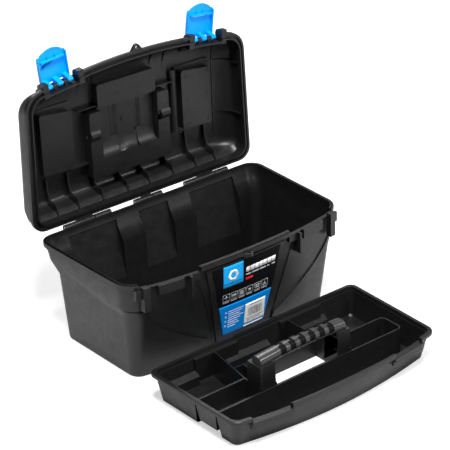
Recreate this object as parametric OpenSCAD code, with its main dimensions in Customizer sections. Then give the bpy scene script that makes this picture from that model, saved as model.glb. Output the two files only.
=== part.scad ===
// Plastic toolbox with a hinged lid, two flip latches, a fold-flat carrying handle,
// two small lid organisers and a lift-out tote tray standing in front of the box.
// Origin: centre of the tub's base on the ground. X to the right along the front,
// Y to the back, Z up.

/* [Tub] */
// Width of the tub across its rim
body_w = 480; // [470:1:490]
// Depth of the tub across its rim at the corners
body_d = 260; // [254:1:266]
// Height of the tub's rim above the ground
rim_z = 190; // [186:1:194]
// How far the front edge bows out at its middle
front_bow = 20; // [17:1:23]
// Wall thickness of the moulded shells
wall = 2.6; // [2.2:0.1:3]

/* [Lid] */
// Height of the lid's crown above its rim
lid_h = 62; // [60:1:64]
// Opening angle at which the lid stands
lid_open = 91; // [80:1:95]

/* [Latches] */
// Distance of each latch from the middle of the front
latch_x = 156; // [152:1:160]
// Width of a latch plate
latch_w = 58; // [54:1:60]
// Angle between the latched and the shown position of a latch
latch_open = 88; // [84:1:90]

/* [Tray] */
// Width of the tray across its rim
tray_w = 450; // [446:1:452]
// Depth of the tray across its rim at the corners
tray_d = 221; // [219:1:223]
// Height of the tray's rim above the ground
tray_h = 55; // [53:1:58]
// Distance of the tray's centre in front of the tub's centre
tray_y = -277; // [-290:1:-277]
// Sideways place of the tray's centre
tray_x = -6; // [-10:1:10]

/* [Hidden] */

plastic = [0.09, 0.09, 0.1];
latch_blue = [0.0, 0.5, 0.95];
steel = [0.75, 0.76, 0.78];
grip_grey = [0.3, 0.3, 0.32];

half_w = body_w / 2;
back_y = body_d / 2;
half_d = body_d / 2;
front_y = 3 - body_d / 2;
// Share by which the plan widens from its middle to its back edge
side_taper = 0.018;
// Back corners are tighter than front ones by this factor
back_round = 0.72;
corner_steps = 6;
bow_steps = 12;
eps = 0.01;

// ---------- outlines ----------
// Plan outline, anticlockwise from the back right corner: straight sides and back, bowed front.
// a: half width, yb: back, yf: front at the corners, r: corner radius, b: bow
function arc_pts(cx, cy, r, a0, a1) =
    [for (i = [0 : corner_steps])
        let (t = a0 + (a1 - a0) * i / corner_steps) [cx + r * cos(t), cy + r * sin(t)]];
function bow_drop(x, xe, b) = b * (1 - (x / xe) * (x / xe));
function plan_outline(a, yb, yf, r, b) =
    let (lean = atan(2 * b / a), xe = a - r + r * sin(lean), ye = yf + r - r * cos(lean), rb = r * back_round)
    concat(
        arc_pts(a - rb, yb - rb, rb, 0, 90),
        arc_pts(-a + rb, yb - rb, rb, 90, 180),
        arc_pts(-a + r, yf + r, r, 180, 270 - lean),
        [for (i = [1 : bow_steps - 1]) let (x = -xe + 2 * xe * i / bow_steps) [x, ye - bow_drop(x, xe, b)]],
        arc_pts(a - r, yf + r, r, 270 + lean, 360)
    );

// A ring is [z, a, yb, yf, r, tilt]; tilt lowers the ring towards the front.
function ring_pts(g, b) =
    [for (p = plan_outline(g[1], g[2], g[3], g[4], b))
        [p[0] * (1 + side_taper * p[1] / half_d), p[1], g[0] - g[5] * (g[2] - p[1]) / body_d]];
function at_level(g, z) = concat([z], [for (k = [1 : 5]) g[k]]);
function inset_ring(g, d) = [g[0], g[1] - d, g[2] - d, g[3] + d, max(g[4] - d, 4), g[5]];

// Closed solid through a stack of rings, lowest first.
module loft(rings, b = front_bow) {
    n = len(ring_pts(rings[0], b));
    m = len(rings);
    pts = [for (g = rings) each ring_pts(g, b)];
    sides = [for (k = [0 : m - 2]) for (i = [0 : n - 1]) let (j = (i + 1) % n)
        each [[k * n + i, k * n + j, (k + 1) * n + j], [k * n + i, (k + 1) * n + j, (k + 1) * n + i]]];
    low = [[for (i = [0 : n - 1]) n - 1 - i]];
    high = [[for (i = [0 : n - 1]) (m - 1) * n + i]];
    faces = [for (f = concat(low, sides, high)) [for (i = [len(f) - 1 : -1 : 0]) f[i]]];
    polyhedron(points = pts, faces = faces);
}

// Front edge of the rim at x
function rim_front(x) = front_y - front_bow * (1 - (x / half_w) * (x / half_w));

// Upright strip that follows the bowed front from x1 to x2, between two offsets from the rim edge.
// out: how far it stands in front of the rim edge, back: how far behind the edge it reaches
module front_strip(x1, x2, out, back, z1, z2, steps = 6) {
    xs = [for (i = [0 : steps]) x1 + (x2 - x1) * i / steps];
    outer = [for (x = xs) [x, rim_front(x) - out]];
    inner = [for (i = [steps : -1 : 0]) [xs[i], rim_front(xs[i]) + back]];
    translate([0, 0, z1]) linear_extrude(z2 - z1) polygon(concat(outer, inner));
}

// Block between two corners
module block(p, q) {
    translate(p) cube([q[0] - p[0], q[1] - p[1], q[2] - p[2]]);
}

// Prism along X from x1 to x2 with the [y, z] outline
module prism_x(x1, x2, outline) {
    translate([x1, 0, 0]) rotate([90, 0, 90]) linear_extrude(x2 - x1) polygon(outline);
}

// Prism along Y from y1 to y2 with the [x, z] outline
module prism_y(y1, y2, outline) {
    translate([0, y2, 0]) rotate([90, 0, 0]) linear_extrude(y2 - y1) polygon(outline);
}

// Round bar along X
module bar_x(x1, x2, y, z, r, fn = 32) {
    translate([x1, y, z]) rotate([0, 90, 0]) cylinder(r = r, h = x2 - x1, $fn = fn);
}

// Round bar along Y
module bar_y(y1, y2, x, z, r, fn = 32) {
    translate([x, y1, z]) rotate([-90, 0, 0]) cylinder(r = r, h = y2 - y1, $fn = fn);
}

module mirrored_x() {
    children();
    mirror([1, 0, 0]) children();
}

// ---------- hinge ----------
hinge_y = back_y + 5;
hinge_z = rim_z - 2;
hinge_pin_r = 1.6;
hinge_bore_r = hinge_pin_r + 0.05;
hinge_barrel_r = 4.2;
tub_barrel_r = 5.3;
web_inset = 0.15;
knuckle_gap = 0.6;
// Spans of the tub's and the lid's hinge knuckles right of the middle
tub_knuckles = [[84, 118.5], [153, 183]];
lid_knuckle = [tub_knuckles[0][1] + knuckle_gap, tub_knuckles[1][0] - knuckle_gap];
center_knuckle = 30;
center_gap = 10;

// Carries a part that rides on the lid from its closed place to where the lid stands open
module at_lid() {
    translate([0, hinge_y, hinge_z]) rotate([-lid_open, 0, 0]) translate([0, -hinge_y, -hinge_z]) children();
}

// ---------- tub ----------
step_tilt = 20;
rim_a = half_w - 4;
rim_back = back_y - 4;
rim_fore = front_y + 4;
tub_rings = [
    [0, 213.5, 95, -99.5, 19, 0],
    [1.5, 215.5, 97, -101.5, 21, 0],
    [5, 216.5, 98, -103, 22, 0],
    [rim_z - 56, 227, 103, -119, 30, step_tilt],
    [rim_z - 31, 234.5, 118.6, -121.5, 33, step_tilt],
    [rim_z - 7, rim_a, rim_back, rim_fore, 34, 0]
];
tub_floor = 3;
lip_out = 4;
lip_z = rim_z - 1;
groove_z = rim_z - 5;
gate_x1 = 98;
notch_x2 = 212;
gate_z = rim_z - 7.5;
raised_z = rim_z + 2;

function grown(rings, d) = [for (g = rings) inset_ring(g, -d)];

module tub_outer() {
    loft(tub_rings);
}

module tub_inner() {
    lifts = [3, 4, 4, 0];
    loft(concat(
        [inset_ring([tub_floor, 213.5, 95, -99.5, 19, 0], wall)],
        [for (i = [2 : len(tub_rings) - 1])
            let (g = inset_ring(tub_rings[i], wall)) at_level(g, g[0] + lifts[i - 2])],
        [inset_ring([rim_z + 10, rim_a, rim_back, rim_fore, 34, 0], wall)]
    ));
}

// Rim: an outer lip and an inner tongue with a groove between them
module tub_rim() {
    base = [0, rim_a, rim_back, rim_fore, 34, 0];
    lip = inset_ring(base, -lip_out);
    difference() {
        loft([at_level(base, rim_z - 13), at_level(lip, rim_z - 8.5), at_level(lip, lip_z)]);
        loft([at_level(inset_ring(base, -1.8), groove_z), at_level(inset_ring(base, -1.8), rim_z + 1)]);
    }
    loft([at_level(inset_ring(base, 0.4), rim_z - 15), at_level(inset_ring(base, 0.4), rim_z)]);
}

// Back wall panels between the pilasters: they lean out from the lower wall to the rim
panel_top = [123.6, rim_z - 13];
panel_low = [98.3, rim_z - 118];
panel_spans = [[-185, -82], [-33, 33], [82, 185]];

module panel_relief(d, grow) {
    for (s = panel_spans)
        prism_x(s[0] - grow, s[1] + grow, [
            [80, panel_low[1] - grow], [panel_low[0] + d, panel_low[1] - grow],
            [panel_top[0] + d, panel_top[1]], [80, panel_top[1]]
        ]);
}

// Raised pads on the lower front, cut from a slightly larger copy of the tub
module front_pad(out, outline) {
    intersection() {
        translate([0, -out, 0]) tub_outer();
        prism_y(-190, -60, outline);
    }
}

function curve_pts(p, q, c, n) =
    [for (i = [0 : n])
        let (t = i / n, u = 1 - t) [for (k = [0 : 1]) u * u * p[k] + 2 * t * u * c[k] + t * t * q[k]]];

panel_edge_top = [86, rim_z - 12];
panel_edge_low = [54, 4];
lobe_outline = concat(
    [[228, rim_z - 53]], curve_pts([206, rim_z - 54], [66, 32], [186, rim_z - 101], 8), [[63, 0], [230, 0]]
);
guard_z1 = rim_z - 47;
guard_z2 = rim_z - 3;
band_z1 = rim_z - 25;
band_out = 1;
band_x = [latch_x - 24.4, latch_x + 24.4];

module latch_zone() {
    // Catch band with the ledge that the hook pulls on
    front_strip(band_x[0], band_x[1], band_out, 8, band_z1, gate_z, 5);
    // Outer and inner guards beside the latch plate
    front_strip(199, 211, 4, 8, guard_z1, guard_z2, 2);
    front_strip(117.6, 121.4, 6, 8, guard_z1, gate_z, 1);
    front_strip(212, 222, -2, 8, guard_z1 + 22, lip_z - 6, 2);
    front_strip(98, 117.6, -1.5, 8, rim_z - 21, gate_z, 2);
}

lug_w = 26;
lug_t = 6;
lug_out = 13;
lug_hole_r = 3.2;
lug_hole_y = rim_front(0) - 4.8;

module lug_plan() {
    translate([0, rim_front(0) + 2]) hull() {
        translate([-lug_w / 2, 0]) square([lug_w, 4]);
        translate([0, -lug_out + 6.2]) circle(r = 6.2, $fn = 32);
    }
}

module tub() {
    color(plastic) difference() {
        union() {
            difference() {
                union() {
                    tub_outer();
                    tub_rim();
                    intersection() {
                        panel_relief(wall, 2);
                        block([-230, 60, 0], [230, rim_back, rim_z]);
                    }
                    // Centre panel that carries the label, and the corner pads
                    front_pad(3.6, [
                        [-panel_edge_top[0], panel_edge_top[1]], [-panel_edge_low[0], panel_edge_low[1]],
                        [panel_edge_low[0], panel_edge_low[1]], [panel_edge_top[0], panel_edge_top[1]]
                    ]);
                    mirrored_x() front_pad(2.4, lobe_outline);
                }
                tub_inner();
                panel_relief(0, 0);
                // The rim is lower across the latch zones
                mirrored_x() {
                    block([gate_x1, -170, gate_z], [notch_x2, -100, rim_z + 5]);
                    front_strip(gate_x1, notch_x2, 10, 3.4, rim_z - 17, gate_z + 1, 4);
                }
                // Curved groove beside the centre panel
                mirrored_x() intersection() {
                    difference() {
                        loft(grown(tub_rings, 6));
                        translate([0, 1.2, 0]) tub_outer();
                    }
                    prism_y(-190, -60, concat(
                        curve_pts([101, rim_z - 33], [62, 16], [88, rim_z - 45], 8),
                        curve_pts([68, 16], [108, rim_z - 33], [98, rim_z - 47], 8)
                    ));
                }
            }
            mirrored_x() latch_zone();
            // Raised centre of the front rim
            front_strip(-gate_x1, gate_x1, -0.5, 6.6, rim_z - 9, raised_z, 8);
            front_strip(-gate_x1, gate_x1, 1, 3, rim_z - 6, raised_z - 2.2, 8);
            translate([0, 0, rim_z - 8]) linear_extrude(lug_t) lug_plan();
            tub_hinge_webs();
        }
        translate([0, lug_hole_y, rim_z - 15]) cylinder(r = lug_hole_r, h = 20, $fn = 48);
        tub_hinge_bores();
    }
}

// Barrels on the tub's back rim, each carried by a web down the wall
module tub_hinge_webs() {
    web = [
        [124, rim_z - 25], [126, rim_z - 25], [hinge_y + 4, rim_z - 11],
        [hinge_y + tub_barrel_r - web_inset, hinge_z],
        [back_y + 0.6, hinge_z], [back_y - 1, rim_z - 7], [124, rim_z - 7]
    ];
    mirrored_x() for (s = [tub_knuckles[0], tub_knuckles[1], [center_gap, center_knuckle]]) {
        prism_x(s[0], s[1], web);
        bar_x(s[0], s[1], hinge_y, hinge_z, tub_barrel_r);
    }
}

module tub_hinge_bores() {
    for (s = [[83, 184], [-184, -83], [-31, 31]])
        bar_x(s[0], s[1], hinge_y, hinge_z, hinge_bore_r);
}

// ---------- label ----------
label_top = [76, rim_z - 15];
label_low = [46, 33];

// Thin printed sheet on the centre panel; it follows the leaning, bowed panel
module front_label() {
    color("white") intersection() {
        difference() {
            translate([0, -4.1, 0]) tub_outer();
            translate([0, -3.6, 0]) tub_outer();
        }
        prism_y(-190, -60, [
            [-label_top[0], label_top[1]], [-label_low[0], label_low[1]],
            [label_low[0], label_low[1]], [label_top[0], label_top[1]]
        ]);
    }
}

module hinge_pin(x1, x2) {
    color(steel) bar_x(x1, x2, hinge_y, hinge_z, hinge_pin_r, 24);
}

// ---------- lid (drawn closed) ----------
lid_z = rim_z + 1;
lid_top = lid_z + lid_h;
lid_rings = [
    [lid_z, half_w, back_y, front_y, 36, 0],
    [lid_z + 7.5, half_w, back_y, front_y, 36, 0],
    [lid_z + 8.5, 237.5, 127.6, -124, 34, 0],
    [lid_z + 25, 235.8, 125.8, -116, 33, 0],
    [lid_z + 31, 235, 119, -113, 32.5, 0],
    [lid_z + 38, 232.5, 117.4, -109, 31, 0],
    [lid_z + 50, 222.7, 115.6, -99.7, 28, 0],
    [lid_z + 57, 211, 112, -88, 27, 0],
    [lid_z + 60.5, 198, 107.5, -76, 26, 0],
    [lid_top, 173, 92, -56, 24, 0]
];
lid_inner_rings = [
    [lid_z - 5, 236, 126, -123, 33, 0],
    [lid_z + 5, 236, 126, -123, 33, 0],
    [lid_z + 6, 234.6, 124.9, -121, 32, 0],
    [lid_z + 23.5, 233.1, 123, -113.4, 31, 0],
    [lid_z + 30.5, 232, 115.9, -110.3, 30, 0],
    [lid_z + 36.5, 229.8, 114.6, -106.4, 28, 0],
    [lid_z + 48, 220.3, 113, -97.6, 26, 0],
    [lid_z + 54.6, 209, 109.4, -86, 25, 0],
    [lid_z + 58, 197, 104.6, -74.8, 24, 0],
    [lid_z + 59.4, 172, 91, -55, 22, 0]
];
roof_in = lid_z + 59.4;
well_z = lid_z + 41;
well_x1 = 121;
well_x2 = 187;
cover_pin_z = lid_top - 4.5;
cover_pin_r = 1.5;
cover_axis_off = 9;
channel_r = 5.6;

module lid_inner() {
    loft(lid_inner_rings);
}

// Organiser well outline, x measured from the well's left edge; g grows it
module well_plan(g) {
    w = well_x2 - well_x1;
    offset(r = 4, $fn = 24) offset(delta = -4 + g) polygon([[0, -64], [w, -56], [w, 54], [0, 51]]);
}

// Left edges of the two wells: the left well sits mirrored in place but keeps the same hand
well_edges = [-well_x2, well_x1];

// U-shaped pocket of the carrying handle, with a bump for the fingers
handle_x = 77;
handle_y = 8;
handle_z = lid_z + 50.5;
pocket_z = lid_z + 36.8;
plate_z = lid_z + 43;
strip_z = lid_z + 52;
strip_top = lid_top - 1.7;
module handle_plan(g) {
    difference() {
        offset(r = 5, $fn = 24) offset(delta = -5 + g) polygon([[-87, -40], [87, -40], [87, 87], [-87, 87]]);
        offset(r = 5, $fn = 24) offset(delta = -5 - g) difference() {
            polygon([[-62, -70], [62, -70], [62, 52], [-62, 52]]);
            translate([0, 81]) circle(r = 31, $fn = 40);
        }
    }
}

module front_pocket_plan(g) {
    offset(r = 5, $fn = 24) offset(delta = -5 + g)
        polygon([[-63.5, -86], [63.5, -86], [63.5, -41.5], [-63.5, -41.5]]);
}

// Concave sweep in plan distance and height, between the pocket's underside and the roof
cove_top = strip_z + 0.3;
cove_low = pocket_z + 0.3;
function cove(p, q) = let (e = q + (q > p ? 2 : -1)) concat(
    [for (t = [0 : 11.25 : 90]) [p + (q - p) * sin(t), cove_top - (cove_top - cove_low) * (1 - cos(t))]],
    [[e, cove_low], [e, lid_top - 0.5], [p, lid_top - 0.5]]
);

// Undersides of the lid's recesses, hanging below its roof
module lid_bosses() {
    intersection() {
        union() {
            for (e = well_edges) translate([e, 0, well_z]) linear_extrude(40) well_plan(0);
            translate([0, 0, pocket_z]) linear_extrude(40) handle_plan(0);
            translate([0, 0, plate_z]) linear_extrude(40) front_pocket_plan(0);
            for (e = well_edges) {
                bar_y(-66, 56, e - cover_axis_off, cover_pin_z, channel_r + wall);
                block([e - 6, -69, lid_top - 7], [e + well_x2 - well_x1 + 5, 59, lid_top]);
            }
            block([-66, -40, lid_top - 5], [66, 57, lid_top]);
            for (s = [-1, 1])
                bar_x(s * handle_x - 10, s * handle_x + 10, handle_y - 5, handle_z - 5, 13.4);
            // Hollows that sweep down from the roof to the finger gap
            for (s = [-60, 22]) prism_x(s, s + 38, cove(20, 52));
            intersection() {
                translate([0, 81, 0]) rotate_extrude($fn = 72) polygon(cove(60, 30.3));
                block([-24, 10, 0], [24, 54, lid_top]);
            }
            // Thick strips between the arms of the handle, parted by two V grooves, and a gate mark
            prism_y(-45, 36, [[-61, strip_z], [-36, strip_z], [-28.5, strip_top], [-61, strip_top]]);
            prism_y(-45, 37, [[-18.5, strip_z], [18, strip_z], [23.8, strip_top], [-27.5, strip_top]]);
            prism_y(-45, 36, [[33, strip_z], [61, strip_z], [61, strip_top], [24.5, strip_top]]);
            translate([-6, -5.6, strip_z - 1.8]) cylinder(r = 5, h = 8, $fn = 32);
            // Low walls between the plates
            for (s = [-1, 1]) {
                block([s * 83 - 22, -47.9, lid_z + 47], [s * 83 + 22, -46.1, lid_top]);
                block([s * 104 - 18, 56, lid_z + 47], [s * 104 + 18, 57.8, lid_top]);
            }
        }
        loft(grown(lid_rings, -0.4));
    }
}

// Recesses in the lid's top
module lid_recesses() {
    for (e = well_edges) {
        translate([e, 0, well_z + wall]) linear_extrude(40) well_plan(-wall);
        // The cover lies in a shallow rebate
        block([e - 3, -66, lid_top - 4.4], [e + well_x2 - well_x1 + 2, 56.5, lid_top + 5]);
        bar_y(-62, 52, e - cover_axis_off, cover_pin_z, channel_r);
        block([e - cover_axis_off - channel_r, -62, cover_pin_z], [e, 52, lid_top + 5]);
    }
    translate([0, 0, pocket_z + wall]) linear_extrude(40) handle_plan(-wall);
    translate([0, 0, plate_z + wall]) linear_extrude(40) front_pocket_plan(-wall);
    // The island inside the U lies a little lower, so that fingers reach under the grip
    block([-63, -37, lid_top - 2.4], [63, 54, lid_top + 5]);
}

gusset_x = [24, 79, 132, 177];
module lid_ribs() {
    for (x = gusset_x) for (s = [-1, 1])
        prism_x(s * x - 1.1, s * x + 1.1, [
            [62, lid_z + 61], [62, lid_z + 53], [83, lid_z + 50], [99, lid_z + 45.5],
            [104, lid_z + 24.5], [119, lid_z + 21], [127, lid_z + 21], [127, lid_z + 30],
            [118, lid_z + 52], [104, lid_z + 61]
        ]);
    mirrored_x() difference() {
        union() {
            for (y = [-60, 42]) block([188, y - 0.9, lid_z + 8], [240, y + 0.9, lid_z + 60]);
            block([201.3, -90, lid_z + 8], [203.1, 86.5, lid_z + 61]);
        }
        loft(grown(lid_inner_rings, -5.5));
    }
    // Ribs that stiffen the front slope
    for (x = [-93, -64, 64, 93]) difference() {
        block([x - 0.9, -125, lid_z + 8], [x + 0.9, -46, lid_z + 60]);
        loft(grown(lid_inner_rings, -5));
    }
}

// A frame around each latch pin: two rounded ears and a pocket between them
pin_y = rim_front(latch_x) + 14.2;
pin_z = lid_z + 14;
latch_pin_r = 1.5;
latch_bore_r = latch_pin_r + 0.05;
latch_turn = atan(2 * front_bow * latch_x / (half_w * half_w));
pocket_half = 31;
ear_w = 11;

// Puts a part drawn around the latch pin, pin along X at the origin, at the left or right latch
module at_latch(side) {
    translate([side * latch_x, pin_y, pin_z]) rotate([0, 0, side * latch_turn]) children();
}

function ear_outline() = concat(
    [[10.8, lid_z + 0.4 - pin_z], [-14.7, lid_z + 0.4 - pin_z]],
    [for (t = [180 : -15 : 60]) [-5.2 + 9.5 * cos(t), -3 + 9.5 * sin(t)]],
    [[10.8, 16]]
);

module latch_ears(side) {
    at_latch(side) {
        for (s = [-1, 1]) {
            x0 = s > 0 ? pocket_half : -pocket_half - ear_w;
            prism_x(x0, x0 + ear_w, ear_outline());
        }
        // Back wall and roof of the pocket
        block([-pocket_half - 1, 6.8, -14], [pocket_half + 1, 9.2, 27]);
        prism_x(-pocket_half - 1, pocket_half + 1, [
            [1.5, 14.5], [8.8, 14.5], [26.8, 29], [26.8, 35], [8.8, 31]
        ]);
    }
}

module latch_pocket(side) {
    at_latch(side) block([-pocket_half, -60, -40], [pocket_half, 6.8, 14.5]);
}

module lid_latch_knuckles(side) {
    at_latch(side) for (x = [-11, 11]) {
        bar_x(x - 4, x + 4, 0, 0, 3.6);
        block([x - 4, 0, -3.6], [x + 4, 8, 3]);
    }
}

module lid_rim_tongue() {
    difference() {
        union() {
            loft([[lid_z - 2.5, 230.5, 120.5, -117.5, 30, 0], [lid_z + 6, 230.5, 120.5, -117.5, 30, 0]]);
            loft([[lid_z + 4.5, 237, 127, -124, 33, 0], [lid_z + 6.7, 237, 127, -124, 33, 0]]);
        }
        loft([[lid_z - 5, 228.3, 118.3, -115.3, 28, 0], [lid_z + 12, 228.3, 118.3, -115.3, 28, 0]]);
    }
}

module lid_shell() {
    difference() {
        union() {
            difference() {
                loft(lid_rings);
                lid_inner();
            }
            intersection() {
                union() {
                    lid_bosses();
                    lid_ribs();
                }
                loft(grown(lid_rings, -0.5));
            }
        }
        lid_recesses();
    }
}

module lid_hinge_webs() {
    web_out = hinge_barrel_r - web_inset;
    web = [
        [back_y - 4, lid_z + 2.6], [back_y - 4, lid_z + 7.5], [hinge_y + 1, lid_z + 7.5],
        [hinge_y + web_out, lid_z + 3], [hinge_y + web_out, hinge_z],
        [hinge_y, hinge_z - 1], [hinge_y - 3, hinge_z + 2], [back_y + 0.4, lid_z + 1.4]
    ];
    low = lid_knuckle[0];
    high = lid_knuckle[1];
    for (s = [[low, high], [-high, -low], [-center_gap + knuckle_gap, center_gap - knuckle_gap]]) {
        prism_x(s[0], s[1], web);
        bar_x(s[0], s[1], hinge_y, hinge_z, hinge_barrel_r);
    }
}

module lid() {
    color(plastic) at_lid() difference() {
        union() {
            difference() {
                lid_shell();
                for (s = [-1, 1]) latch_pocket(s);
            }
            difference() {
                lid_rim_tongue();
                for (s = [-1, 1]) latch_pocket(s);
                block([-pocket_half, -160, 0], [pocket_half, -100, 1]);
            }
            for (s = [-1, 1]) {
                latch_ears(s);
                lid_latch_knuckles(s);
            }
            // Padlock lug over the tub's lug
            translate([0, 0, raised_z + 1]) linear_extrude(lug_t) lug_plan();
            lid_hinge_webs();
        }
        // The rim clears the tub's raised front rim
        front_strip(-gate_x1 - 1, gate_x1 + 1, 20, 8, lid_z - 6, raised_z + 0.6, 8);
        translate([0, lug_hole_y, lid_z - 5]) cylinder(r = lug_hole_r, h = 30, $fn = 48);
        for (s = [-1, 1]) at_latch(s) bar_x(-15.5, 15.5, 0, 0, latch_bore_r, 24);
        for (s = [-1, 1]) bar_x(s * handle_x - 14, s * handle_x + 14, handle_y, handle_z, handle_bore_r, 32);
        for (e = well_edges) bar_y(-70, 62, e - cover_axis_off, cover_pin_z, cover_pin_r + 0.05, 24);
        for (s = [[118, 154], [-154, -118], [-12, 12]]) bar_x(s[0], s[1], hinge_y, hinge_z, hinge_bore_r);
        // Windows beside the handle pivots
        mirrored_x() block([61.4, handle_y - 6, lid_z + 28], [68.6, handle_y + 6, lid_z + 44]);
        // Ejector marks on the undersides of the organiser wells
        for (e = well_edges) for (x = [9, 57]) for (y = [-52, -6, 42])
            translate([e + x, y, well_z - 1]) cylinder(r = 3.2, h = 1.6, $fn = 24);
        for (x = [-23, 23]) translate([x, -62, plate_z - 1]) cylinder(r = 3.2, h = 1.6, $fn = 24);
        mirrored_x() for (q = [[76, 27], [82, -16], [27, 81], [77, 82]])
            translate([q[0], q[1], pocket_z - 1]) cylinder(r = 3.2, h = 1.6, $fn = 24);
    }
}

// ---------- latches (drawn latched, pin along X at the origin) ----------
// Outer face of a latch plate, bellied in the middle: offset from its back plane and height
plate_belly = [[-2.4, -0.5], [-3, -13], [-3.2, -26], [-2.7, -42], [-1.7, -54], [-0.2, -66]];
latch_y = -15.7;
latch_t = 2.4;
latch_len = 61;
latch_head = -0.5;
hook_z = band_z1 - 0.6 - pin_z;
hook_reach = 5.6;

module latch_plate() {
    w = latch_w / 2;
    // Outline with shoulders and an arched end, in x and z
    face = concat(
        [[-w, latch_head], [-w, -latch_len + 11], [-w + 1.5, -latch_len + 9.5], [-w + 6, -latch_len + 9]],
        curve_pts([-w + 7, -latch_len + 6.5], [w - 7, -latch_len + 6.5], [0, -latch_len - 8.5], 10),
        [[w - 6, -latch_len + 9], [w - 1.5, -latch_len + 9.5], [w, -latch_len + 11], [w, latch_head]]
    );
    n = len(plate_belly) - 1;
    intersection() {
        prism_y(latch_y - 10, latch_y + 10, face);
        prism_x(-w - 1, w + 1, concat(
            [for (q = plate_belly) [latch_y + q[0], q[1]]],
            [for (i = [n : -1 : 0]) [latch_y + plate_belly[i][0] + latch_t, plate_belly[i][1]]]
        ));
    }
}

module latch_body() {
    w = latch_w / 2;
    difference() {
        union() {
            latch_plate();
            // Side flanges
            mirrored_x() block([w - 2, latch_y - 1.2, -latch_len + 12], [w, latch_y + 4.5, latch_head]);
            // Hook rib that pulls on the catch band, and two short ribs behind it
            block([-w + 5, latch_y - 1.5, hook_z - 2.6], [w - 5, latch_y + hook_reach, hook_z]);
            for (x = [-8, 8]) prism_x(x - 0.9, x + 0.9, [
                [latch_y - 1.5, hook_z - 12], [latch_y - 1.5, hook_z - 2],
                [latch_y + hook_reach - 0.6, hook_z - 2], [latch_y + 0.6, hook_z - 12]
            ]);
            // Three knuckles around the pin
            for (x = [-21, 0, 21]) {
                bar_x(x - 4.6, x + 4.6, 0, 0, 4);
                prism_x(x - 4.6, x + 4.6, [
                    [0, 4], [-8, 3.2], [latch_y - 1, latch_head], [latch_y - 1, -8], [0, -4]
                ]);
            }
        }
        bar_x(-30, 30, 0, 0, latch_bore_r, 24);
        // Core slot in front of the hook
        block([-14, latch_y - 5, hook_z + 0.2], [14, latch_y + 1, hook_z + 3.4]);
    }
}

module latch(side) {
    color(latch_blue) at_lid() at_latch(side) rotate([-latch_open, 0, 0]) latch_body();
}

module latch_pin(side) {
    color(steel) at_lid() at_latch(side) bar_x(-25, 25, 0, 0, latch_pin_r, 24);
}

// ---------- carrying handle (drawn folded into the lid) ----------
handle_pin_r = 3;
handle_bore_r = handle_pin_r + 0.05;
arm_x1 = 66;
arm_x2 = 81;
grip_y = 70;

module carry_handle() {
    color(plastic) at_lid() difference() {
        union() {
            for (s = [-1, 1]) {
                bar_x(s > 0 ? arm_x1 : -arm_x2, s > 0 ? arm_x2 : -arm_x1, handle_y, handle_z, 6.6);
            }
            mirrored_x() block([arm_x1, handle_y, handle_z - 5], [arm_x2, grip_y + 9, handle_z + 6]);
            block([-arm_x2 + 2, grip_y - 3, handle_z - 4.5], [arm_x2 - 2, grip_y + 9, handle_z + 5]);
        }
        for (s = [-1, 1]) bar_x(s * handle_x - 20, s * handle_x + 20, handle_y, handle_z, handle_bore_r, 32);
    }
}

module carry_handle_grip() {
    color(grip_grey) at_lid() difference() {
        union() {
            bar_x(-52, 52, grip_y + 3, handle_z, 6.8, 40);
            for (x = [-42 : 12 : 42]) bar_x(x - 2.5, x + 2.5, grip_y + 3, handle_z, 7.4, 40);
        }
        block([-60, grip_y - 3, handle_z - 4.5], [60, grip_y + 9, handle_z + 5]);
    }
}

module handle_pin(side) {
    x = side > 0 ? [63, 85.5] : [-85.5, -63];
    color(steel) at_lid() bar_x(x[0], x[1], handle_y, handle_z, handle_pin_r, 32);
}

// ---------- organiser covers (drawn closed) ----------
cover_t = 2.2;
cover_len = 66;
cover_knuckles = [[-50, -34], [-6, 6], [28, 44]];

module organiser_cover(e) {
    ax = e - cover_axis_off;
    color(plastic) at_lid() difference() {
        union() {
            block([ax, -60, lid_top - 3.6], [e + cover_len - 1.5, 50, lid_top - 3.6 + cover_t]);
            // Raised finger tab and stiffening frame
            block([e + cover_len - 9, -14, lid_top - 2], [e + cover_len - 4, 6, lid_top + 0.6]);
            for (k = cover_knuckles) bar_y(k[0], k[1], ax, cover_pin_z, 4);
        }
        bar_y(-66, 60, ax, cover_pin_z, cover_pin_r + 0.05, 24);
        difference() {
            block([ax - 9, -61, cover_pin_z - 9], [ax + 5.2, 51, lid_top + 6]);
            for (k = cover_knuckles) block([ax - 10, k[0], cover_pin_z - 10], [ax + 10, k[1], lid_top + 7]);
        }
    }
}

module organiser_pin(e) {
    color(steel) at_lid() bar_y(-65.5, 55.5, e - cover_axis_off, cover_pin_z, cover_pin_r, 24);
}

// ---------- tray (drawn around its own centre, standing on the ground) ----------
tray_a = tray_w / 2;
tray_b = tray_d / 2;
tray_wall = 2.2;
trough_y = -54;
// Half thickness at the floor of the two hollow dividers
thick_low = 7.5;
post_left = [-122, -88];
post_right = [46, 76];
post_right_foot = 28;
post_y = [-54, -16];
post_top = tray_h + 36;
well_top = tray_h - 1.5;

tray_rings = [
    [0, tray_a - 16, tray_b - 16, -tray_b + 18, 12, 0],
    [2.5, tray_a - 13.5, tray_b - 13.5, -tray_b + 15.5, 14, 0],
    [tray_h - 7, tray_a - 6, tray_b - 6, -tray_b + 6, 16, 0]
];

module at_tray() {
    translate([tray_x, tray_y, 0]) children();
}

// Divider between two plan points: thin at the top, thick at the floor
module divider(p, q, top = 1.1, low = 3.2, z2 = well_top) {
    d = q - p;
    n = norm(d);
    translate([p[0], p[1], 0]) rotate([0, 0, atan2(d[1], d[0])])
        prism_x(0, n, [[-low, 0.5], [low, 0.5], [top, z2], [-top, z2]]);
}

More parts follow.
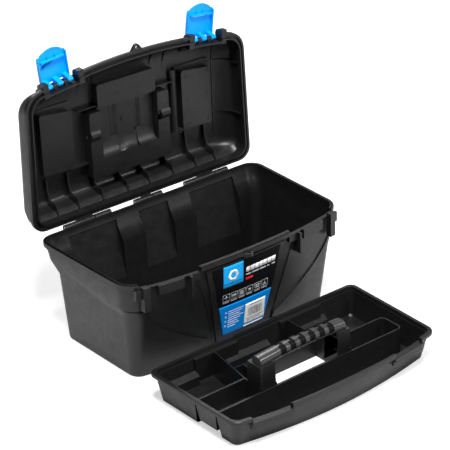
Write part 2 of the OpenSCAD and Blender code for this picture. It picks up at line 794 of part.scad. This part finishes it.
module tray_dividers() {
    a = tray_a - 7;
    y = tray_b - 7;
    divider([-98, y], [-114, -3]);
    divider([-a, -3], [-114, -3], 1.3, thick_low);
    divider([-114, -3], [-120, trough_y]);
    divider([-a, trough_y], [-88, trough_y], 1.3, thick_low);
    divider([-90, trough_y], [182, trough_y]);
    divider([-109, hole[1][1] + 2], [74, hole[1][1] + 2]);
    divider([63, hole[1][1] + 1], [63, y]);
    divider([74, -6], [184, -6]);
    divider([193, -15], [193, -45]);
    // Rounded right corners of the middle compartment
    for (c = [[183, -16, 0], [183, -44, -90]]) translate([c[0], c[1], 0.5]) rotate([0, 0, c[2]])
        rotate_extrude(angle = 90, $fn = 48)
            polygon([[6.8, 0], [13.2, 0], [11.1, well_top - 0.5], [8.9, well_top - 0.5]]);
}

// Square foot up to the dividers, then a tapering neck
module post(xs, foot) {
    w = xs[1] - xs[0];
    d = post_y[1] - post_y[0];
    neck = tray_h - 1.6;
    block([xs[0], post_y[0], foot], [xs[1], post_y[1], tray_h - 1.5]);
    translate([(xs[0] + xs[1]) / 2, (post_y[0] + post_y[1]) / 2, neck])
        linear_extrude(post_top - neck, scale = 0.94)
            offset(r = 4, $fn = 24) square([w - 8, d - 8], center = true);
}

// Open cup in a post's top that takes an end of the grip
module post_cup(x1, x2) {
    block([x1, tote_y - grip_b - 0.8, cup_z], [x2, tote_y + grip_b + 0.8, post_top + 1]);
}

module tray_rim() {
    difference() {
        loft([
            [tray_h - 9, tray_a - 5, tray_b - 5, -tray_b + 5, 17, 0],
            [tray_h - 6, tray_a, tray_b, -tray_b, 20, 0],
            [tray_h - 0.8, tray_a, tray_b, -tray_b, 20, 0],
            [tray_h, tray_a - 1, tray_b - 1, -tray_b + 1, 19, 0]
        ]);
        loft([
            [tray_h - 12, tray_a - 8.5, tray_b - 8.5, -tray_b + 8.5, 14, 0],
            [tray_h + 3, tray_a - 6.8, tray_b - 6.8, -tray_b + 6.8, 15, 0]
        ]);
    }
}

function tray_front(x) = -tray_b - front_bow * (1 - (x / tray_a) * (x / tray_a));

module tray_front_step(x1, x2, out, back, z1, z2) {
    xs = [for (i = [0 : 8]) x1 + (x2 - x1) * i / 8];
    translate([0, 0, z1]) linear_extrude(z2 - z1) polygon(concat(
        [for (x = xs) [x, tray_front(x) + out]], [for (i = [8 : -1 : 0]) [xs[i], tray_front(xs[i]) + back]]
    ));
}

hole = [[-88, -51], [72, 31]];

module tray_cavity() {
    loft([
        [2, tray_a - 18, tray_b - 18, -tray_b + 20, 10, 0],
        [5, tray_a - 15.4, tray_b - 15.4, -tray_b + 17.6, 12, 0],
        [tray_h + 5, tray_a - 7.6, tray_b - 7.6, -tray_b + 7.6, 14, 0]
    ]);
}

// Ledges with a sloping top at the foot of the back wall
module tray_ledges() {
    y = tray_b - 10;
    for (s = [[-203, -138], [-76, 18], [88, 150]])
        prism_x(s[0], s[1], [[y - 13, 1], [y + 6, 1], [y + 6, 27], [y - 1, 27], [y - 13, 19]]);
}

// Set-in parts of the back wall, with their own stretch of rim
module tray_back_steps() {
    for (s = [[-140, -48], [48, 140]]) block([s[0], tray_b - 16, 3], [s[1], tray_b - 7, tray_h - 2]);
}

// Low stretches of the front rim beside its raised middle
low_rim = 7;
low_spans = [[-188, -114], [112, 182]];

module tray_low_rims() {
    for (s = low_spans) {
        tray_front_step(s[0] - 2, s[1] + 2, 0.3, 7, tray_h - low_rim - 6, tray_h - low_rim);
        tray_front_step(s[0] - 2, s[1] + 2, 5, 9, tray_h - low_rim - 14, tray_h - low_rim);
    }
}

module tray() {
    color(plastic) at_tray() difference() {
        union() {
            difference() {
                union() {
                    difference() {
                        loft(tray_rings);
                        tray_cavity();
                    }
                    tray_rim();
                    tray_front_step(low_spans[0][1], low_spans[1][0], 1.2, 5.4, tray_h - 2, tray_h + 2.5);
                    block([-46, tray_b - 6, tray_h - 2], [46, tray_b - 1.6, tray_h + 2]);
                }
                for (s = low_spans) tray_front_step(s[0], s[1], -8, 16, tray_h - low_rim, tray_h + 9);
            }
            tray_low_rims();
            intersection() {
                union() {
                    tray_dividers();
                    tray_ledges();
                    tray_back_steps();
                    // Raised floor of the front left pocket
                    block([-tray_a, trough_y, 10], [-118, -3, 15]);
                    block(
                        [hole[0][0] - 2.4, hole[0][1] - 3, 0.5],
                        [hole[1][0] + 2.4, hole[1][1] + 2.6, well_top - 4]
                    );
                }
                loft([for (g = tray_rings) inset_ring(g, 0.5)]);
            }
            post(post_left, 1);
        }
        // Hand opening
        block([hole[0][0], hole[0][1], -1], [hole[1][0], hole[1][1], tray_h + 60]);
        // The left post is hollow from below, with a cup for the grip's end
        post_core(post_left);
        post_cup(grip_x1 - 0.5, post_left[1] + 1);
        // Hollows inside the left-hand dividers, open from below, so that each pocket hangs on its own
        for (y = [-3, trough_y]) prism_x(-tray_a - 5, -122, [
            [y - thick_low + 1.5, -1], [y + thick_low - 1.5, -1],
            [y + 1.1, tray_h - 13], [y - 1.1, tray_h - 13]
        ]);
        prism_x(-tray_a - 5, -122, [[-50, -1], [-3, -1], [-5, 11], [-50, 11]]);
    }
    // The right post starts above the ground and is open to the left, so the hand opening runs on under it
    color(plastic) at_tray() difference() {
        post(post_right, post_right_foot);
        block(
            [post_right[0] - 1, post_y[0] + 3, -1], [post_right[1] - 3, post_y[1] - 3, cup_z - 3]
        );
        post_cup(post_right[0] - 1, grip_x2 + 0.5);
    }
}

module post_core(s) {
    block([s[0] + 3, post_y[0] + 5, -1], [s[1] - 3, post_y[1] - 3, cup_z - 3]);
}

// ---------- tote handle on the tray ----------
grip_x1 = -115;
grip_x2 = 70;
grip_mid = (grip_x1 + grip_x2) / 2;
// Half width and half height of the rounded grip
grip_b = 11.5;
grip_c = 10;
cup_z = post_top - 8;
grip_base = cup_z + 0.1 + grip_c;
grip_rise = 5;
tote_y = (post_y[0] + post_y[1]) / 2;
pad_x = [for (i = [0 : 5]) -66 + 21 * i];
pad_half = 6;
grip_half = (grip_x2 - grip_x1) / 2;
function grip_arch(x) = grip_base + grip_rise * (1 - pow((x - grip_mid) / grip_half, 2));

// Rounded cross-section of the grip, g smaller all round
function rounded(a, u) = a * sign(u) * pow(abs(u), 0.75);
function grip_section(g) = [for (t = [0 : 15 : 345])
    [rounded(grip_b - g, cos(t)), rounded(grip_c - g, sin(t))]];

// Arched bar of that section between two stations
module grip_bar(x1, x2, g, n = 18) {
    sec = grip_section(g);
    m = len(sec);
    xs = [for (i = [0 : n]) x1 + (x2 - x1) * i / n];
    pts = [for (x = xs) for (q = sec) [x, tote_y + q[0], grip_arch(x) + q[1]]];
    sides = [for (k = [0 : n - 1]) for (i = [0 : m - 1]) let (j = (i + 1) % m)
        each [[k * m + i, (k + 1) * m + i, (k + 1) * m + j], [k * m + i, (k + 1) * m + j, k * m + j]]];
    low = [[for (i = [0 : m - 1]) i]];
    high = [[for (i = [0 : m - 1]) n * m + m - 1 - i]];
    polyhedron(points = pts, faces = concat(low, sides, high));
}

// Room of one pad: a band over the top and sides of the grip, with a tongue of the grip left in it
module pad_room(x, g) {
    z = grip_arch(x);
    difference() {
        block([x - pad_half + g, tote_y - 20, z - 4 + g], [x + pad_half - g, tote_y + 20, z + 20]);
        block([x - pad_half - 1, tote_y - 1.8 - g, z], [x - 0.5 + g, tote_y + 1.8 + g, z + 21]);
    }
}

module tray_handle() {
    color(grip_grey) at_tray() difference() {
        grip_bar(grip_x1, grip_x2, 0);
        for (x = pad_x) difference() {
            pad_room(x, 0);
            grip_bar(x - 9, x + 9, 2.6, 2);
        }
    }
}

module tray_handle_pads() {
    color([0.05, 0.05, 0.05]) at_tray() for (x = pad_x) intersection() {
        pad_room(x, 0.06);
        difference() {
            grip_bar(x - 8, x + 8, 0.9, 2);
            grip_bar(x - 9, x + 9, 2.55, 2);
        }
    }
}

// ---------- assembly ----------
tub();
front_label();
hinge_pin(-182.5, -84.5);  // hinge_pin_left
hinge_pin(-29.5, 29.5);  // hinge_pin_center
hinge_pin(84.5, 182.5);  // hinge_pin_right
lid();
latch(-1);  // latch_left
latch(1);  // latch_right
latch_pin(-1);  // latch_pin_left
latch_pin(1);  // latch_pin_right
carry_handle();
carry_handle_grip();
handle_pin(-1);  // handle_pin_left
handle_pin(1);  // handle_pin_right
organiser_cover(well_edges[0]);  // organiser_cover_left
organiser_cover(well_edges[1]);  // organiser_cover_right
organiser_pin(well_edges[0]);  // organiser_pin_left
organiser_pin(well_edges[1]);  // organiser_pin_right
tray();
tray_handle();
tray_handle_pads();
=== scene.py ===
"""Looks of the toolbox with its tote tray: finishes, printed label, light and camera."""
import math
import random

import bpy
from mathutils import Matrix, Vector
from mathutils.bvhtree import BVHTree


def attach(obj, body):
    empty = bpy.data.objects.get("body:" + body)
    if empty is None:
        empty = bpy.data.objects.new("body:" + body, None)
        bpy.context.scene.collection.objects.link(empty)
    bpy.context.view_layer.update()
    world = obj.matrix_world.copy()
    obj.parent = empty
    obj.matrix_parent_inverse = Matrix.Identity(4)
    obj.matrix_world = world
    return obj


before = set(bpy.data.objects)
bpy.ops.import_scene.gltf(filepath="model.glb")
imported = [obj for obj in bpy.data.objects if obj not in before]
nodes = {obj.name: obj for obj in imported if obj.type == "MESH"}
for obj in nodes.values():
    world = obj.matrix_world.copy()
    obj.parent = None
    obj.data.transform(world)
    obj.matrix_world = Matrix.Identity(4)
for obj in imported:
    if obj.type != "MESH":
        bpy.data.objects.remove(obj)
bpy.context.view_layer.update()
MM = 0.001

# ---------- camera ----------
CAMERA_PLACE = Vector((-1.6492, -2.1744, 1.5597))
CAMERA_AZIMUTH = math.radians(-38.313)
CAMERA_ELEVATION = math.radians(26.8)
CAMERA_ROLL = math.radians(-1.656)
CAMERA_LENS = 139.3


def add_camera():
    ce, se = math.cos(CAMERA_ELEVATION), math.sin(CAMERA_ELEVATION)
    back = Vector((math.sin(CAMERA_AZIMUTH) * ce, -math.cos(CAMERA_AZIMUTH) * ce, se))
    side = Vector((0, 0, 1)).cross(back).normalized()
    up = back.cross(side)
    cr, sr = math.cos(CAMERA_ROLL), math.sin(CAMERA_ROLL)
    right = side * cr + up * sr
    top = up * cr - side * sr
    data = bpy.data.cameras.new("camera")
    data.lens = CAMERA_LENS
    data.sensor_width = 36
    data.clip_end = 20
    cam = bpy.data.objects.new("camera", data)
    cam.matrix_world = Matrix.Translation(CAMERA_PLACE) @ Matrix((right, top, back)).transposed().to_4x4()
    bpy.context.scene.collection.objects.link(cam)
    bpy.context.scene.camera = cam


add_camera()


# ---------- node helpers ----------
class Shader:
    """A material or world's node tree, with short calls for the nodes used here."""

    def __init__(self, tree):
        self.tree = tree

    def add(self, kind, **settings):
        node = self.tree.nodes.new(kind)
        for key, value in settings.items():
            setattr(node, key, value)
        return node

    def link(self, a, b):
        self.tree.links.new(a, b)

    def noise(self, where, scale, detail=2.0, rough=0.5):
        n = self.add("ShaderNodeTexNoise")
        n.inputs["Scale"].default_value = scale
        n.inputs["Detail"].default_value = detail
        n.inputs["Roughness"].default_value = rough
        self.link(where, n.inputs["Vector"])
        return n.outputs["Fac"]

    def spread(self, value, low, high, to_low, to_high):
        m = self.add("ShaderNodeMapRange")
        for key, v in (("From Min", low), ("From Max", high), ("To Min", to_low), ("To Max", to_high)):
            m.inputs[key].default_value = v
        self.link(value, m.inputs["Value"])
        return m.outputs["Result"]

    def mix_colour(self, share, a, b):
        m = self.add("ShaderNodeMix", data_type="RGBA")
        self.link(share, m.inputs[0])
        for socket, colour in ((m.inputs[6], a), (m.inputs[7], b)):
            if isinstance(colour, tuple):
                socket.default_value = (*colour, 1)
            else:
                self.link(colour, socket)
        return m.outputs[2]

    def math(self, operation, a, b):
        m = self.add("ShaderNodeMath", operation=operation)
        for socket, value in ((m.inputs[0], a), (m.inputs[1], b)):
            if isinstance(value, (int, float)):
                socket.default_value = value
            else:
                self.link(value, socket)
        return m.outputs[0]

    def stretched(self, where, scale, turn=(0, 0, 0)):
        m = self.add("ShaderNodeMapping")
        m.inputs["Scale"].default_value = scale
        m.inputs["Rotation"].default_value = turn
        self.link(where, m.inputs["Vector"])
        return m.outputs["Vector"]


def new_material(name):
    mat = bpy.data.materials.new(name)
    mat.use_nodes = True
    shader = Shader(mat.node_tree)
    body = mat.node_tree.nodes["Principled BSDF"]
    where = shader.add("ShaderNodeTexCoord").outputs["Object"]
    return mat, shader, body, where


def moulded_plastic(name, colour, worn, rough, grain, grain_depth, specular=0.5, mottling=0.08):
    """Injection-moulded plastic: fine spark-eroded grain, cloudy gloss, faint rub marks and light dust."""
    mat, s, body, where = new_material(name)
    cloud = s.noise(where, 9, 3)
    patch = s.noise(where, 60, 4, 0.6)
    fine = s.noise(where, grain, 2, 0.6)
    rubs = s.noise(s.stretched(where, (14, 260, 90), (0.5, 0.35, 0.8)), 3, 5, 0.7)
    rub_mask = s.spread(rubs, 0.62, 0.74, 0, 1)
    dust = s.spread(s.noise(where, 900, 1), 0.72, 0.8, 0, 1)
    tone = s.mix_colour(s.spread(cloud, 0.3, 0.7, 0, 1), colour, tuple(c * 1.25 for c in colour))
    tone = s.mix_colour(s.math("MULTIPLY", rub_mask, 0.22), tone, worn)
    tone = s.mix_colour(s.math("MULTIPLY", dust, 0.3), tone, worn)
    s.link(tone, body.inputs["Base Color"])
    gloss = s.spread(patch, 0.25, 0.75, rough - mottling, rough + mottling)
    gloss = s.math("ADD", gloss, s.math("MULTIPLY", rub_mask, 0.06))
    s.link(gloss, body.inputs["Roughness"])
    body.inputs["Specular IOR Level"].default_value = specular
    height = s.math("ADD", fine, s.math("MULTIPLY", patch, 0.6))
    bump = s.add("ShaderNodeBump")
    bump.inputs["Strength"].default_value = 1
    bump.inputs["Distance"].default_value = grain_depth
    s.link(height, bump.inputs["Height"])
    s.link(bump.outputs["Normal"], body.inputs["Normal"])
    return mat, body


def drawn_steel(name):
    """Bright zinc-plated wire with fine rings round it from drawing."""
    mat, s, body, where = new_material(name)
    rings = s.noise(s.stretched(where, (2600, 60, 60)), 1, 3)
    stain = s.noise(where, 220, 3)
    tone = s.mix_colour(s.spread(stain, 0.35, 0.65, 0, 1), (0.62, 0.63, 0.65), (0.78, 0.77, 0.74))
    s.link(tone, body.inputs["Base Color"])
    s.link(s.spread(rings, 0.3, 0.7, 0.2, 0.38), body.inputs["Roughness"])
    body.inputs["Metallic"].default_value = 1
    bump = s.add("ShaderNodeBump")
    bump.inputs["Distance"].default_value = 0.00002
    s.link(rings, bump.inputs["Height"])
    s.link(bump.outputs["Normal"], body.inputs["Normal"])
    return mat


def print_film(name, colour, shade, rough=0.42):
    """Ink under a clear film: smooth, slightly wavy, with a faint halftone in the tone."""
    mat, s, body, where = new_material(name)
    wave = s.noise(where, 45, 2)
    dots = s.noise(where, 2600, 0)
    tone = s.mix_colour(s.spread(dots, 0.35, 0.65, 0, 1), colour, shade)
    s.link(tone, body.inputs["Base Color"])
    s.link(s.spread(wave, 0.3, 0.7, rough - 0.06, rough + 0.06), body.inputs["Roughness"])
    body.inputs["Specular IOR Level"].default_value = 0.06
    bump = s.add("ShaderNodeBump")
    bump.inputs["Distance"].default_value = 0.00012
    bump.inputs["Strength"].default_value = 0.5
    s.link(wave, bump.inputs["Height"])
    s.link(bump.outputs["Normal"], body.inputs["Normal"])
    return mat


# Each plastic: its colour, its colour where it is rubbed or dusty, roughness, grain scale and grain depth
black_plastic, _ = moulded_plastic(
    "black_plastic", (0.0068, 0.0069, 0.0073), (0.05, 0.05, 0.052), 0.4, 1500, 0.00006)
grip_plastic, _ = moulded_plastic("grip_plastic", (0.04, 0.04, 0.041), (0.1, 0.1, 0.1), 0.24, 1900, 0.00003)
pad_rubber, _ = moulded_plastic(
    "pad_rubber", (0.0012, 0.0012, 0.0014), (0.01, 0.01, 0.01), 0.5, 2200, 0.00004, specular=0.15)
latch_blue, latch_shader = moulded_plastic(
    "latch_blue", (0.0, 0.34, 1.0), (0.05, 0.5, 1.0), 0.32, 1800, 0.000015, specular=0.22, mottling=0.05)
latch_shader.inputs["Subsurface Weight"].default_value = 0.12
latch_shader.inputs["Subsurface Radius"].default_value = (0.05, 0.5, 1.0)
latch_shader.inputs["Subsurface Scale"].default_value = 0.002
pin_steel = drawn_steel("pin_steel")
ink_black = print_film("label_black", (0.004, 0.004, 0.005), (0.006, 0.006, 0.007))
ink_blue = print_film("label_blue", (0.0, 0.24, 0.74), (0.0, 0.28, 0.82))
ink_light_blue = print_film("label_light_blue", (0.01, 0.4, 0.95), (0.02, 0.44, 1.0))
ink_white = print_film("label_white", (0.97, 0.97, 0.96), (1.0, 1.0, 0.99))
ink_grey = print_film("label_grey", (0.5, 0.52, 0.55), (0.56, 0.58, 0.6))
ink_red = print_film("label_red", (0.8, 0.01, 0.03), (0.88, 0.02, 0.04))

FINISH = {"front_label": ink_black, "carry_handle_grip": grip_plastic, "tray_handle": grip_plastic,
          "tray_handle_pads": pad_rubber, "latch_left": latch_blue, "latch_right": latch_blue}


# Edge rounding in millimetres; every node that isn't listed has the plain rounding
PLAIN_ROUNDING = 0.4
ROUNDING = {"tray_handle": 0.8, "tray_handle_pads": 0.6, "latch_left": 0.7, "latch_right": 0.7,
            "tray": 0.8, "tub": 0.6, "lid": 0.6}


def dress(name, node):
    """Puts the finish on a CAD node, merges its flat facets and rounds its edges."""
    finish = FINISH.get(name, pin_steel if "_pin" in name else black_plastic)
    node.data.materials.clear()
    node.data.materials.append(finish)
    for poly in node.data.polygons:
        poly.use_smooth = True
    weld = node.modifiers.new("weld", "WELD")
    weld.merge_threshold = 0.02 * MM
    flat = node.modifiers.new("flat", "DECIMATE")
    flat.decimate_type = "DISSOLVE"
    flat.angle_limit = math.radians(1)
    bevel = node.modifiers.new("bevel", "BEVEL")
    bevel.width = ROUNDING.get(name, PLAIN_ROUNDING) * MM
    bevel.segments = 3 if name in ROUNDING else 2
    bevel.limit_method = "ANGLE"
    bevel.angle_limit = math.radians(34)
    bevel.use_clamp_overlap = True
    normals = node.modifiers.new("normals", "WEIGHTED_NORMAL")
    normals.keep_sharp = True


for node_name, cad_node in nodes.items():
    dress(node_name, cad_node)


# ---------- printed label ----------
# Places on the label are (x, z) in millimetres in the row frame.
LABEL_TOP_Z, LABEL_TOP_HALF = 175.0, 76.0
LABEL_LOW_Z, LABEL_LOW_HALF = 33.0, 46.0
FIELD_Z = 94.5
PRINT_STEP = 4.0
PRINT_LIFT = 0.05


def label_half(z):
    share = (z - LABEL_LOW_Z) / (LABEL_TOP_Z - LABEL_LOW_Z)
    return LABEL_LOW_HALF + (LABEL_TOP_HALF - LABEL_LOW_HALF) * share


class Print:
    """One ink layer: flat patches laid on the label's curved face."""

    def __init__(self, name, ink, lift=1):
        self.name, self.ink, self.lift = name, ink, lift * PRINT_LIFT
        self.verts, self.faces = [], []

    def patch(self, x1, x2, z1, z2, edge=None, slant=0.0):
        """A patch between two edges. edge(z) gives its (left, right), and slant leans it to the right."""
        nx = max(1, round((x2 - x1) / PRINT_STEP))
        nz = max(1, round((z2 - z1) / PRINT_STEP))
        base = len(self.verts)
        for k in range(nz + 1):
            z = z1 + (z2 - z1) * k / nz
            left, right = edge(z) if edge else (x1, x2)
            for i in range(nx + 1):
                x = left + (right - left) * i / nx + slant * (z - z1)
                self.verts.append(on_label(x, z, self.lift))
        for k in range(nz):
            for i in range(nx):
                a = base + k * (nx + 1) + i
                self.faces.append((a, a + 1, a + nx + 2, a + nx + 1))

    def frame(self, x1, x2, z1, z2, line):
        self.patch(x1, x2, z2 - line, z2)
        self.patch(x1, x2, z1, z1 + line)
        self.patch(x1, x1 + line, z1 + line, z2 - line)
        self.patch(x2 - line, x2, z1 + line, z2 - line)

    def ring(self, x, z, outer, inner, sides):
        """A flat ring, such as a nut seen from its end."""
        base = len(self.verts)
        for i in range(sides):
            turn = math.tau * i / sides
            for r in (outer, inner):
                self.verts.append(on_label(x + r * math.cos(turn), z + r * math.sin(turn), self.lift))
        for i in range(sides):
            a, b = base + 2 * i, base + 2 * ((i + 1) % sides)
            self.faces.append((a, b, b + 1, a + 1))

    def finish(self):
        mesh = bpy.data.meshes.new(self.name)
        mesh.from_pydata(self.verts, [], self.faces)
        mesh.materials.append(self.ink)
        for poly in mesh.polygons:
            poly.use_smooth = True
        obj = bpy.data.objects.new(self.name, mesh)
        bpy.context.scene.collection.objects.link(obj)
        body = obj.modifiers.new("thickness", "SOLIDIFY")
        body.thickness = (self.lift + 0.02) * MM
        body.offset = -1
        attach(obj, "tub")
        return obj


label_node = nodes["front_label"]
label_tree = BVHTree.FromPolygons(
    [v.co for v in label_node.data.vertices], [p.vertices for p in label_node.data.polygons])


def on_label(x, z, lift):
    hit, normal, _, _ = label_tree.ray_cast(Vector((x * MM, -0.4, z * MM)), Vector((0, 1, 0)))
    if hit is None:
        raise ValueError(f"no label at {x}, {z}")
    return tuple(hit + normal * lift * MM)


def print_label():
    inset = 0.6
    blue = Print("label_print_field", ink_blue)
    blue.patch(-60, 60, LABEL_LOW_Z + 0.6, FIELD_Z, lambda z: (inset - label_half(z), label_half(z) - inset))
    blue.finish()

    square = Print("label_print_square", ink_light_blue)
    square.patch(-51.4, -9, 132.5, 173.5)
    square.finish()

    white = Print("label_print_white", ink_white, 2)
    # Hexagon nut in the blue square, and a headline of slanted blocks
    white.ring(-30.2, 153, 11.5, 6.2, 6)
    x = -3.5
    for width in (8, 9.5, 9.5, 6.5, 9, 9.5, 8):
        white.patch(x, x + width, 149, 158.5, slant=0.18)
        x += width + 1.1
    # Six framed signs, each with its own simple mark over a caption bar
    signs = Print("label_print_signs", ink_grey, 2)
    marks = (
        ((3, 11.3, 8, 9.4), (6.4, 7.9, 4.5, 12.5)),
        ((3, 5, 5, 11), (6.2, 8.2, 5, 11), (9.4, 11.4, 5, 11)),
        ((3, 11.3, 10.2, 11.8), (3, 11.3, 7.4, 9), (3, 11.3, 4.6, 6.2)),
        ((4.5, 9.8, 5.2, 10.5),),
        ((3, 6.6, 8.6, 12), (7.8, 11.4, 8.6, 12), (3, 11.4, 4.8, 7.2)),
        ((3, 11.4, 4.6, 6.2), (5, 9.4, 7, 8.6), (6.4, 8, 9.4, 11.8)),
    )
    for k, mark in enumerate(marks):
        x0 = -51.5 + 17 * k
        signs.frame(x0, x0 + 14.3, 104.5, 118.5, 0.7)
        for x1, x2, z1, z2 in mark:
            signs.patch(x0 + x1, x0 + x2, 103 + z1, 103 + z2)
        signs.patch(x0 + 0.6, x0 + 13.6, 101.2, 102.6)
    signs.finish()
    # Product panel and the strip under it
    white.patch(0, 46, 39.5, 81.5)
    white.patch(-0.5, 43, 34.2, 36.8)
    white.finish()

    grey = Print("label_print_lines", ink_grey)
    for x1, x2 in ((-3.5, 8), (10, 25), (27, 42), (44.5, 49.5), (55, 63)):
        grey.patch(x1, x2, 142.8, 145.4, slant=0.18)
    grey.finish()

    red = Print("label_print_tag", ink_red)
    red.patch(-3.6, 12.4, 133, 137.8, slant=0.05)
    red.finish()

    # Lines of small print on the blue field, then the bars and lines on the white panel
    notes = Print("label_print_notes", ink_white, 2)
    for k, end in enumerate((-3.5, -6, -12, -3.5, -10, -15, -12, -20)):
        z = 80.5 - 4.6 * k
        notes.patch(-37, end, z - 1.1, z)
        if k % 2 == 0:
            notes.frame(-43.6, -40.6, z - 2.4, z + 0.4, 0.7)
    notes.finish()

    bars = Print("label_print_bars", ink_black, 3)
    rng = random.Random(4)
    x = 8
    while x < 39:
        width = rng.choice((0.5, 0.8, 1.3))
        bars.patch(x, x + width, 53, 71)
        x += width + rng.choice((0.6, 0.9, 1.4))
    bars.patch(10, 38, 75.6, 76.8)
    bars.patch(5, 42, 48.6, 49.8)
    bars.patch(5, 36, 45, 46)
    bars.finish()


print_label()


# ---------- light and floor ----------
def area_light(name, place, aim, size, power):
    data = bpy.data.lights.new(name, "AREA")
    data.shape = "RECTANGLE"
    data.size, data.size_y = size
    data.energy = power
    lamp = bpy.data.objects.new(name, data)
    lamp.location = place
    lamp.rotation_euler = (Vector(place) - Vector(aim)).to_track_quat("Z", "Y").to_euler()
    bpy.context.scene.collection.objects.link(lamp)


WORLD_WHITE = 1.05
WORLD_FILL = 0.08
FLOOR_TONE = (0.7, 0.7, 0.7, 1)
FLOOR_GLOW = 0.55


def add_world():
    """White behind the object, with a darker room for its reflections."""
    world = bpy.data.worlds.new("studio")
    world.use_nodes = True
    bpy.context.scene.world = world
    s = Shader(world.node_tree)
    sky = world.node_tree.nodes["Background"]
    sky.inputs["Color"].default_value = (1, 1, 1, 1)
    seen = s.add("ShaderNodeLightPath").outputs["Is Camera Ray"]
    s.link(s.spread(seen, 0, 1, WORLD_FILL, WORLD_WHITE), sky.inputs["Strength"])


def add_floor():
    half = 6
    mesh = bpy.data.meshes.new("floor")
    corners = [(-half, -half, 0), (half, -half, 0), (half, half, 0), (-half, half, 0)]
    mesh.from_pydata(corners, [], [(0, 1, 2, 3)])
    floor = bpy.data.objects.new("floor", mesh)
    bpy.context.scene.collection.objects.link(floor)
    mat, s, body, where = new_material("floor_white")
    body.inputs["Base Color"].default_value = FLOOR_TONE
    body.inputs["Roughness"].default_value = 0.9
    body.inputs["Specular IOR Level"].default_value = 0
    body.inputs["Emission Color"].default_value = (1, 1, 1, 1)
    seen = s.add("ShaderNodeLightPath").outputs["Is Camera Ray"]
    s.link(s.spread(seen, 0, 1, 0, FLOOR_GLOW), body.inputs["Emission Strength"])
    mesh.materials.append(mat)


add_world()
add_floor()
# Each light: its place and size in metres, and its power in watts
LIGHT_AIM = (0, -0.05, 0.2)
area_light("key", (-0.7, -1.0, 2.9), LIGHT_AIM, (0.7, 0.7), 112)
area_light("front", (1.2, -2.4, 1.9), LIGHT_AIM, (0.8, 0.8), 30)
area_light("side", (2.0, -1.4, 1.2), LIGHT_AIM, (0.7, 1.6), 10)
area_light("back", (0.5, 1.9, 2.2), LIGHT_AIM, (2.4, 0.8), 44)
bpy.context.scene.view_settings.view_transform = "Standard"
